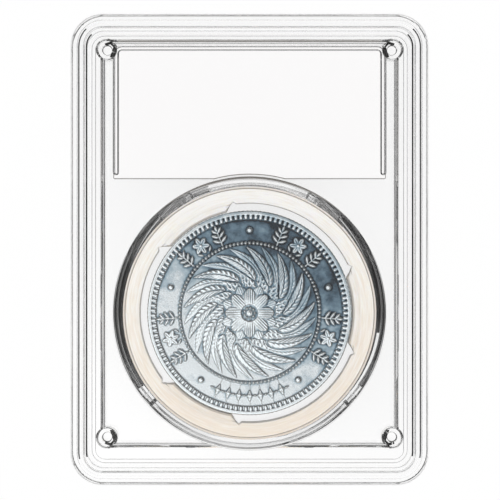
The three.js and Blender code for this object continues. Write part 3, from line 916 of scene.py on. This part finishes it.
def front_shell(sizes, face, root, parting):
    """The front shell, with a raised lip, a groove for the tongue, and a pin and short grooves by each
    post."""
    seam = parting + sizes.film / 2
    first = sizes.lip_inset
    last = first + sizes.lip_width
    foot, slope = sizes.lip_foot, sizes.lip_slope
    sunk, skim, top = face - SUNK, face - SKIM, face + sizes.lip_height
    lip = outline_frame("lip", sizes, [
        (first - foot, sunk, 0), (first - foot, skim, 0), (first, skim, foot),
        (first + slope, top, sizes.lip_outer), (last - slope, top, sizes.lip_inner),
        (last, skim, foot), (last + foot, skim, 0), (last + foot, sunk, 0),
    ])
    gap = sizes.tongue_gap
    end = parting + sizes.tongue_height + gap
    groove = tongue_bar("groove", sizes, gap, seam - BEYOND, end, sizes.groove_outer, sizes.groove_inner)
    tip = parting - sizes.pin_reach
    pin = softened([
        (sizes.pin * 0.4, tip, 0), (sizes.pin, tip, sizes.pin_round), (sizes.pin, seam + SUNK, 0),
    ], closed=False)
    cuts = [groove]
    pins = []
    for post in post_places(sizes):
        cuts.append(notch(post, seam, across=1.25, along=-0.35, turn=1.25, long=2.3, wide=0.85))
        cuts.append(notch(post, seam, across=0.3, along=1.25, turn=0.3, long=1.5, wide=0.5))
        cuts.append(notch(post, seam, across=1.0, along=0.95, turn=-0.75, long=0.9, wide=0.4))
        pins.append(skin("pin", turned_rows(pin, post, PIN_STEPS), False))
    levels = (face, root, seam, float(CARD_HIGH[2]) + sizes.card_gap)
    later = [*(("DIFFERENCE", cut) for cut in cuts), *(("UNION", peg) for peg in pins)]
    return shell("clear_front_shell", sizes, levels, DOWN, [lip], later)


class SLAB_OT_shells(bpy.types.Operator):
    """Makes the clear back and front shells"""

    bl_idname = "slab.shells"
    bl_label = "Clear shells"

    def execute(self, context):
        sizes = context.scene.slab_shell
        material = clear_plastic(context.scene.slab_colours)
        back_face = sizes.lip_height
        back_root = back_face + sizes.window
        front_face = float(FRONT_HIGH[2]) - sizes.lip_height
        front_root = front_face - sizes.window
        parting = (back_root + front_root) / 2
        back = back_shell(sizes, back_face, back_root, parting)
        dress(back, material, "back", "back_shell")
        front = front_shell(sizes, front_face, front_root, parting)
        dress(front, material, "front", "front_shell")
        return {"FINISHED"}


def ring_sections(sizes):
    """Open sections of (radius, height): the outside, down from the top face over the step and the edge to
    the bottom face, and the plain bore and the bore with a prong, both from the bottom face up."""
    low, high = float(RING_LOW[2]), float(RING_HIGH[2])
    prong = sizes.prong_height / 2
    face = sizes.inner + 0.9 * MM
    foot = sizes.flat + sizes.step_width
    outer = softened([
        (face, high, 0), (sizes.flat, high, sizes.round),
        (foot, high - sizes.step_height, sizes.step_round), (float(RING_HIGH[0]), MID_Z, sizes.round),
        (foot, low + sizes.step_height, sizes.step_round), (sizes.flat, low, sizes.round),
        (face, low, 0),
    ], closed=False)
    mouth = sizes.inner + 0.3 * MM
    plain = softened([
        (mouth, low, 0), (sizes.inner, low, sizes.bore_round), (sizes.inner, high, sizes.bore_round),
        (mouth, high, 0),
    ], closed=False)
    root = sizes.inner - 0.1 * MM
    bevel = sizes.prong_bevel
    grip = softened([
        (mouth, low, 0), (root, MID_Z - prong, sizes.prong_root),
        (sizes.grip + bevel, MID_Z - prong, sizes.round),
        (sizes.grip, MID_Z - prong + bevel, sizes.round),
        (sizes.grip, MID_Z + prong - bevel, sizes.round),
        (sizes.grip + bevel, MID_Z + prong, sizes.round),
        (root, MID_Z + prong, sizes.prong_root), (mouth, high, 0),
    ], closed=False)
    return outer, plain, grip


def ring_rows(sizes, angle):
    """Radius and height of the ring at each angle. The inside is plain + s * (grip - plain), where s rises
    from 0 to 1 at the prongs' ends, and is cut back there by depth * exp(-b^2), where b is the angle from
    the notch's middle over its half width."""
    outer, plain, grip = ring_sections(sizes)
    along = np.concatenate([[0], np.cumsum(np.linalg.norm(np.diff(plain, axis=0), axis=1))])
    share = np.linspace(0, along[-1], len(grip))
    plain = np.stack([np.interp(share, along, plain[:, k]) for k in (0, 1)], axis=1)
    turn = np.abs(folded(angle, sizes.prongs, sizes.turn))
    rise = smooth((sizes.span / 2 - turn) / sizes.blend)
    inner = plain[:, None, :] + rise[None, :, None] * (grip - plain)[:, None, :]
    beside = (turn - sizes.span / 2 - sizes.notch_width) / sizes.notch_width
    inner[..., 0] += sizes.notch_depth * np.exp(-beside ** 2)
    outer = np.broadcast_to(outer[:, None, :], (len(outer), len(angle), 2))
    return np.concatenate([outer, inner], axis=0)


# Painted shade: the ring's material darkens its steep walls by this mask, where shade falls.
def wall_shade_mask(rows, sizes):
    """1 on the steep parts of the bore and of the step, and 0 on the faces and the outer edge."""
    way = np.gradient(rows, axis=0)
    steep = np.abs(way[..., 1]) / np.maximum(np.linalg.norm(way, axis=-1), 1e-9)
    bore = smooth((sizes.inner + 0.4 * MM - rows[..., 0]) / (0.2 * MM))
    away = np.abs(rows[..., 0] - sizes.flat - sizes.step_width)
    step = smooth((0.3 * MM - away) / (0.1 * MM))
    return smooth((steep - 0.55) / 0.3) * (bore + step)


class SLAB_OT_ring(bpy.types.Operator):
    """Makes the soft ring with its prongs"""

    bl_idname = "slab.ring"
    bl_label = "Soft ring"

    def execute(self, context):
        sizes = context.scene.slab_ring
        angle = np.linspace(0, 2 * math.pi, RING_STEPS, endpoint=False)
        rows = ring_rows(sizes, angle)
        x = WELL[0] + rows[..., 0] * np.cos(angle)
        y = WELL[1] + rows[..., 0] * np.sin(angle)
        points = np.stack([x, y, rows[..., 1]], axis=-1).reshape(-1, 3)
        faces = grid_faces(len(rows), len(angle), True, True)[:, ::-1]
        ring = mesh_object("soft_ring", points, [faces])
        # The wall attribute marks where painted shade darkens the steep walls.
        mark(ring, "wall", "POINT", wall_shade_mask(rows, sizes))
        dress(ring, soft_ring_material(context.scene.slab_colours), "ring", "coin_ring")
        return {"FINISHED"}


def smooth(value):
    """0 below 0, 1 above 1, and t * t * (3 - 2 t) between."""
    t = np.clip(value, 0, 1)
    return t * t * (3 - 2 * t)


def mound(distance, half_width, power=0.6):
    """A rounded mound: (1 - (distance / half width)^2)^power, and 0 from the half width outwards."""
    return np.clip(1 - (distance / half_width) ** 2, 0, 1) ** power


def folded(angle, count, turn=0.0):
    """Angle from the nearest of a number of evenly spaced ways, the first of them at turn."""
    pitch = 2 * math.pi / count
    return (angle - turn + pitch / 2) % pitch - pitch / 2


def leaf_outline(along, long, wide):
    """Half width of a leaf: wide * sin(pi t^0.85)^0.75, where t runs from 0 at its foot to 1 at its tip."""
    return wide * np.sin(math.pi * np.clip(along / long, 0, 1) ** 0.85) ** 0.75 + 1e-4


def leaf(along, across, long, wide, vein):
    """A rounded leaf with a sunk midrib and slanting veins, cos(2 pi (along - 0.9 |across|) / vein)."""
    half = leaf_outline(along, long, wide)
    away = np.abs(across)
    veins = 0.13 * np.cos(2 * math.pi * (along - 0.9 * away) / vein) * smooth(away / 0.3)
    midrib = 0.42 * np.exp(-(across / 0.11) ** 2) * smooth(half / 0.35)
    return mound(across, half, power=0.45) * np.clip(0.8 + veins - midrib, 0, 1)


def scales(r, angle, low, high, rows, count):
    """Overlapping scales in rings between two radii, each a shallow bowl with a keel; inner rows lie on
    outer ones."""
    pitch = (high - low) / rows
    made = np.zeros_like(r)
    for row in range(rows + 1):
        middle = high - pitch * row
        reach = 2 * math.pi * middle / count * 0.56
        across = folded(angle, count, math.pi / count * (row % 2)) * middle
        away = np.hypot(across, (r - middle) * reach / (pitch * 1.25)) / reach
        keel = 0.2 * np.exp(-(across / 0.09) ** 2)
        bowl = 0.36 + 0.34 * away ** 2 - 0.3 * smooth((away - 0.82) / 0.18) - keel
        made = np.where((away < 1) & (r > low) & (r < high + 0.2), np.maximum(bowl, 0.1), made)
    return made * smooth((r - low) / 0.3)


def stroke(x, y, start, end, half_width, leafy=True):
    """A rounded stroke between two places; a leafy one narrows at both ends by sin(pi t)^0.6."""
    dx, dy = end[0] - start[0], end[1] - start[1]
    t = np.clip(((x - start[0]) * dx + (y - start[1]) * dy) / (dx * dx + dy * dy), 0, 1)
    away = np.hypot(x - start[0] - t * dx, y - start[1] - t * dy)
    half = half_width * np.sin(math.pi * np.clip(t, 0.02, 0.98)) ** 0.6 if leafy else half_width
    return mound(away, half + 0.02)


def sprig(x, y):
    """An upright stem with three pairs of leaves and one at the top."""
    made = 0.7 * stroke(x, y, (0, -1.85), (0, 1.2), 0.17, leafy=False)
    for foot, reach in ((-1.3, 1.3), (-0.35, 1.2), (0.55, 0.9)):
        for side in (-1, 1):
            made = np.maximum(made, stroke(x, y, (side * 0.08, foot), (side * reach, foot + 0.85), 0.33))
    return np.maximum(made, stroke(x, y, (0, 0.9), (0, 1.95), 0.34))


def floret(x, y):
    """A flower of six furrowed petals round a bead, over two short leaves."""
    r = np.hypot(x, y)
    across = folded(np.arctan2(y, x), 6, math.pi / 2) * r
    half = 0.56 * np.sin(math.pi * np.clip(r / 1.65, 0, 1) ** 1.3) ** 0.7 + 1e-4
    made = 0.85 * mound(across, half) * (r < 1.65) * (1 - 0.4 * np.exp(-(across / 0.1) ** 2))
    made = np.maximum(made, mound(r, 0.44))
    for side in (-1, 1):
        made = np.maximum(made, 0.8 * stroke(x, y, (side * 0.7, -1.75), (side * 1.45, -1.0), 0.24))
    return made


def gem(x, y):
    """A four-leaved mark, its upright leaves furrowed, with a bead on each side."""
    upright = mound(x, 0.5 * np.clip(1 - np.abs(y) / 1.15, 0, 1) ** 0.8 + 1e-4, power=0.5)
    level = mound(y, 0.34 * np.clip(1 - np.abs(x) / 0.75, 0, 1) ** 0.8 + 1e-4, power=0.5)
    made = np.maximum(upright * (1 - 0.5 * np.exp(-(x / 0.08) ** 2)), level)
    return np.maximum(made, 0.9 * mound(np.hypot(np.abs(x) - 0.92, y), 0.2))


def wreath(r, angle, sizes):
    """Height of the middle of a face: scales, a whirl of leaves in two layers, and a rosette of two layers
    of petals with a seeded bud. Lengths are in mm and heights are shares of the relief."""
    swirl = angle - 0.11 * (r - 6.4)
    count = sizes.leaves
    across = folded(swirl, count) * r
    between = folded(swirl, count, math.pi / count) * r
    halo = mound(across, leaf_outline(r - 6.0, long=6.4, wide=1.42) + 0.24, power=0.3)
    under = 0.58 * leaf(r - 6.6, between, long=5.8, wide=1.25, vein=0.5)
    over = leaf(r - 6.2, across, long=6.1, wide=1.42, vein=0.66)
    made = np.maximum(scales(r, angle, low=4.7, high=7.4, rows=4, count=34), under)
    made = np.maximum(made * (1 - 0.85 * halo), over)
    for level, turn, reach, wide in ((0.55, math.pi / sizes.petals, 5.3, 1.25), (0.9, 0.0, 4.6, 1.3)):
        across = folded(angle, sizes.petals, turn) * r
        share = np.clip(r / reach, 0, 1)
        half = wide * np.sin(math.pi * share ** 1.5) ** 0.6 + 1e-4
        lines = 0.16 * np.cos(2 * math.pi * across / 0.42) * smooth(share * 2 - 0.4)
        edge = mound(across, half + 0.2, power=0.3) * (r < reach + 0.15)
        body = mound(across, half, power=0.4) * (r < reach)
        made = np.maximum(made * (1 - 0.85 * edge), level * body * (0.8 + lines))
    made = np.maximum(made * (1 - 0.9 * mound(r, 1.6, power=0.3)), 0.8 * mound(r, 1.35))
    seeds = np.hypot(folded(angle, 9) * r, r - 0.95)
    made = np.maximum(made * (1 - 0.5 * mound(seeds, 0.45, power=0.3)), 1.05 * mound(seeds, 0.3))
    return np.maximum(made, 1.1 * mound(r, 0.5))


def border(r, angle, sizes):
    """Height of the border of a face: the beaded circle, large dots with sprigs and florets between them,
    a row of small marks at the foot, and teeth on a band inside the rim."""
    beads = sizes.beads / MM
    bead = np.hypot(folded(angle, sizes.bead_count) * beads, r - beads)
    made = 1.05 * mound(bead, 0.33, power=0.5)
    middle = 15.4
    aside = 0.245
    marks_reach = 0.49
    band_start = 17.25
    teeth_start = 17.7
    sector = 2 * math.pi / sizes.dots
    dots = np.hypot(folded(angle, sizes.dots, math.pi / 2) * r, r - middle)
    made = np.maximum(made, mound(dots, 0.62))
    within = folded(angle, sizes.dots, math.pi / 2 + sector / 2)
    lowest = np.abs(folded(angle, 1, -math.pi / 2)) < sector / 2
    for motif, turn in ((sprig, -aside), (floret, 0.0), (sprig, aside)):
        shape = motif((turn - within) * r, r - middle)
        made = np.maximum(made, np.where(lowest, 0, shape))
    marks = np.where(np.abs(within) < marks_reach, gem(folded(within, 48) * r, r - middle), 0)
    made = np.maximum(made, np.where(lowest, marks, 0))
    teeth = np.hypot(folded(angle, sizes.teeth) * r, np.minimum(r - teeth_start, 0))
    band = smooth((r - band_start) / 0.2)
    return np.maximum(made, band * (0.4 + 0.55 * mound(teeth, 0.35, power=0.5)))


def face_height(x, y, sizes):
    """How far a face lies above the rim's level at places from the coin's middle, in metres and never more
    than 0, and its height above the field as a share of the rim's. The height is max(relief * devices,
    field * rim), and edge * (1 - sqrt(1 - t^2)) is taken off where t rises over the rim's outer edge."""
    r = np.hypot(x, y) / MM
    angle = np.arctan2(y, x)
    radius = COIN_RADIUS / MM
    devices = np.where(r < sizes.seam / MM, wreath(r, angle, sizes), border(r, angle, sizes))
    rim = smooth((r - radius + sizes.rim / MM) / 0.22)
    height = np.maximum(sizes.relief * devices, sizes.field * rim)
    edge = sizes.edge / MM
    over = np.clip((r - radius + edge + 0.05) / edge, 0, 1)
    drop = sizes.edge * (1 - np.sqrt(1 - over ** 2))
    return height - drop - sizes.field, height / sizes.field


def patina(height, wrap, passes=12, gain=4.0):
    """How clean of toning each place of a grid is: its height, and a gain times how much it stands out
    from the average of the places round it."""
    soft = height
    for _ in range(passes):
        for axis in (0, 1):
            mode = "wrap" if wrap and axis == 1 else "edge"
            pad = [(1, 1) if k == axis else (0, 0) for k in (0, 1)]
            wide = np.pad(soft, pad, mode=mode)
            before, after = (wide[:-2], wide[2:]) if axis == 0 else (wide[:, :-2], wide[:, 2:])
            soft = (before + 2 * soft + after) / 4
    return height + gain * (height - soft)


def disc_grid(cells, radius):
    """Places of a square grid bent into a disc: the distance from the middle of the square, max(|a|, |b|),
    becomes the radius and the place along its side becomes the angle, so that the outer places are evenly
    spaced."""
    a, b = np.meshgrid(*[np.linspace(-1, 1, cells + 1)] * 2, indexing="ij")
    wide = np.abs(a) > np.abs(b)
    reach = np.where(wide, a, b)
    part = np.where(wide, b, a) / np.where(reach == 0, 1, reach) * math.pi / 4
    angle = np.where(wide, part, math.pi / 2 - part)
    return radius * reach * np.cos(angle), radius * reach * np.sin(angle)


def coin_middle(name, sizes, side, level):
    """The middle of one face: the bent grid raised to the relief, a wall down from its edge and a flat
    bottom."""
    cells = sizes.cells
    x, y = disc_grid(cells, sizes.seam)
    depth, height = face_height(x, y, sizes)
    shine = np.append(patina(height, False), np.zeros(4 * cells))
    step = np.arange(cells)
    last = cells * (cells + 1)
    loop = np.concatenate([
        last + step, (cells - step) * (cells + 1) + cells, cells - step, step * (cells + 1),
    ])
    top = np.stack([side * x, y, level + side * depth], axis=-1).reshape(-1, 3)
    low = top[loop] * [1, 1, 0] + [0, 0, MID_Z]
    points = np.concatenate([top, low]) + [WELL[0], WELL[1], 0]
    below = len(top) + np.arange(len(loop))
    following = np.roll(loop, -1)
    wall = np.stack([loop, below, np.roll(below, -1), following], axis=1)
    polygons = [grid_faces(cells + 1, cells + 1, False, False)[:, ::-1], wall, below[None, ::-1]]
    return relief_mesh(name, points, polygons, shine)


def coin_border(name, sizes, side, level):
    """The border of one face: rings of places raised to the relief, closed by walls at the seam and near
    the edge and by a flat bottom."""
    around = 4 * sizes.cells
    angle = -math.pi / 4 + 2 * math.pi * np.arange(around) / around
    last = COIN_RADIUS - 0.06 * MM
    face = np.linspace(sizes.seam, COIN_RADIUS - sizes.edge, sizes.rows)
    turned = last - sizes.edge * 0.8 * (1 - np.linspace(0, 1, 8)[1:] ** 0.5)
    reach = np.concatenate([face, turned])
    x, y = reach[:, None] * np.cos(angle), reach[:, None] * np.sin(angle)
    depth, height = face_height(x, y, sizes)
    shine = np.append(patina(height, True), np.zeros(2 * around))
    top = np.stack([side * x, y, level + side * depth], axis=-1)
    under = top[[-1, 0]] * [1, 1, 0] + [0, 0, MID_Z]
    rows = np.concatenate([top, under]) + [WELL[0], WELL[1], 0]
    faces = grid_faces(len(rows), around, True, True)[:, ::-1]
    flat = 3 * around
    return relief_mesh(name, rows.reshape(-1, 3), [faces[:-flat], faces[-flat:]], shine)


def relief_mesh(name, points, polygons, shine):
    """A mesh with its patina value at every point. The faces of the first array are shaded smooth and the
    others flat."""
    made = mesh_object(name, points, polygons)
    faces = np.arange(sum(len(p) for p in polygons))
    made.data.polygons.foreach_set("use_smooth", faces < len(polygons[0]))
    mark(made, "relief", "POINT", shine)
    return made


def reeded_edge(name, sizes, low, high):
    """The coin's edge: a band bevelled into the rims, whose radius dips by reed * (0.5 - 0.5 cos(n t))^0.7
    at the angle t, for n grooves."""
    around = 8 * sizes.reeds
    angle = 2 * math.pi * np.arange(around) / around
    dip = sizes.reed * (0.5 - 0.5 * np.cos(sizes.reeds * angle)) ** 0.7
    inset = np.array([0.5, 0.1, 0.0, 0.0, 0.1, 0.5]) * MM
    share = np.array([0.0, 1.0, 1.0, 1.0, 1.0, 0.0])
    drop = np.array([0.3, 0.2, 0.32]) * MM
    z = np.concatenate([low + drop, high - drop[::-1]])
    reach = COIN_RADIUS - inset[:, None] - share[:, None] * dip
    height = np.broadcast_to(z[:, None], reach.shape)
    rows = np.stack([WELL[0] + reach * np.cos(angle), WELL[1] + reach * np.sin(angle), height], axis=-1)
    shine = np.broadcast_to(0.8 - 0.8 * dip / sizes.reed, reach.shape)
    return relief_mesh(name, rows.reshape(-1, 3), [grid_faces(len(z), around, True, True)], shine)


class SLAB_OT_coin(bpy.types.Operator):
    """Makes the toned silver coin with its relief and reeded edge"""

    bl_idname = "slab.coin"
    bl_label = "Coin"

    def execute(self, context):
        sizes = context.scene.slab_coin
        low, high = float(COIN_LOW[2]), float(COIN_HIGH[2])
        material = silver_material(context.scene.slab_colours)
        for piece in (
            coin_middle("coin_front_middle", sizes, UP, high),
            coin_border("coin_front_border", sizes, UP, high),
            coin_middle("coin_back_middle", sizes, DOWN, low),
            coin_border("coin_back_border", sizes, DOWN, low),
            reeded_edge("coin_reeded_edge", sizes, low, high),
        ):
            dress(piece, material, "coin", "coin")
        return {"FINISHED"}


class SLAB_OT_card(bpy.types.Operator):
    """Makes the blank label card"""

    bl_idname = "slab.card"
    bl_label = "Label card"

    def execute(self, context):
        sizes = context.scene.slab_shell
        half = (CARD_HIGH - CARD_LOW)[:2] / 2
        middle = (CARD_HIGH + CARD_LOW)[:2] / 2
        low, high = float(CARD_LOW[2]), float(CARD_HIGH[2])
        bevel = 0.16 * MM
        corner = 0.3 * MM
        clear = 0.25 * MM
        section = np.array([(0.0, low), (0.0, high - bevel), (bevel, high)])
        card = skin("card", rectangle_rows(half, corner, section, steps=4, middle=middle), False)
        reach = sizes.well_outer + clear
        well = np.array([(reach, low - BEYOND), (reach, high - bevel), (reach + 2 * bevel, high + bevel)])
        post = np.array([(sizes.boss + clear, low - BEYOND), (sizes.boss + clear, high + BEYOND)])
        cuts = [skin("well", turned_rows(well, WELL, WELL_STEPS), False)]
        for place in post_places(sizes)[:2]:
            cuts.append(skin("post", turned_rows(post, place, POST_STEPS), False))
        card = combined(card, [("DIFFERENCE", cut) for cut in cuts])
        card.name = "blank_label_card"
        # Painted shade: faces that don't face up or down are marked to be greyed.
        normals = np.zeros(3 * len(card.data.polygons))
        card.data.polygons.foreach_get("normal", normals)
        mark(card, "cut", "FACE", np.abs(normals[2::3]) < 0.9)
        dress(card, card_material(context.scene.slab_colours), "label", "label_card")
        return {"FINISHED"}


class SLAB_PT_panel(bpy.types.Panel):
    """Lists the parts and their sizes"""

    bl_idname = "SLAB_PT_panel"
    bl_label = "Coin slab"
    bl_space_type = "VIEW_3D"
    bl_region_type = "UI"
    bl_category = "Coin slab"

    def draw(self, context):
        layout = self.layout
        for operator in OPERATORS:
            layout.operator(operator.bl_idname)
        for group in GROUPS:
            settings = getattr(context.scene, group)
            layout.label(text=group.replace("_", " "))
            for name in settings.bl_rna.properties.keys():
                if name not in ("rna_type", "name"):
                    layout.prop(settings, name)


GROUPS = {
    "slab_stage": StageSizes,
    "slab_shell": ShellSizes,
    "slab_ring": RingSizes,
    "slab_coin": CoinSizes,
    "slab_colours": SlabColours,
}
OPERATORS = [SLAB_OT_stage, SLAB_OT_shells, SLAB_OT_ring, SLAB_OT_coin, SLAB_OT_card]


def register():
    for group in (*GROUPS.values(), *OPERATORS, SLAB_PT_panel):
        bpy.utils.register_class(group)
    for name, group in GROUPS.items():
        setattr(bpy.types.Scene, name, PointerProperty(type=group))


def unregister():
    for name in GROUPS:
        delattr(bpy.types.Scene, name)
    for group in (SLAB_PT_panel, *reversed(OPERATORS), *reversed(GROUPS.values())):
        bpy.utils.unregister_class(group)


def main():
    register()
    bpy.ops.slab.stage()
    bpy.ops.slab.shells()
    bpy.ops.slab.ring()
    bpy.ops.slab.coin()
    bpy.ops.slab.card()


if __name__ == "__main__":
    main()
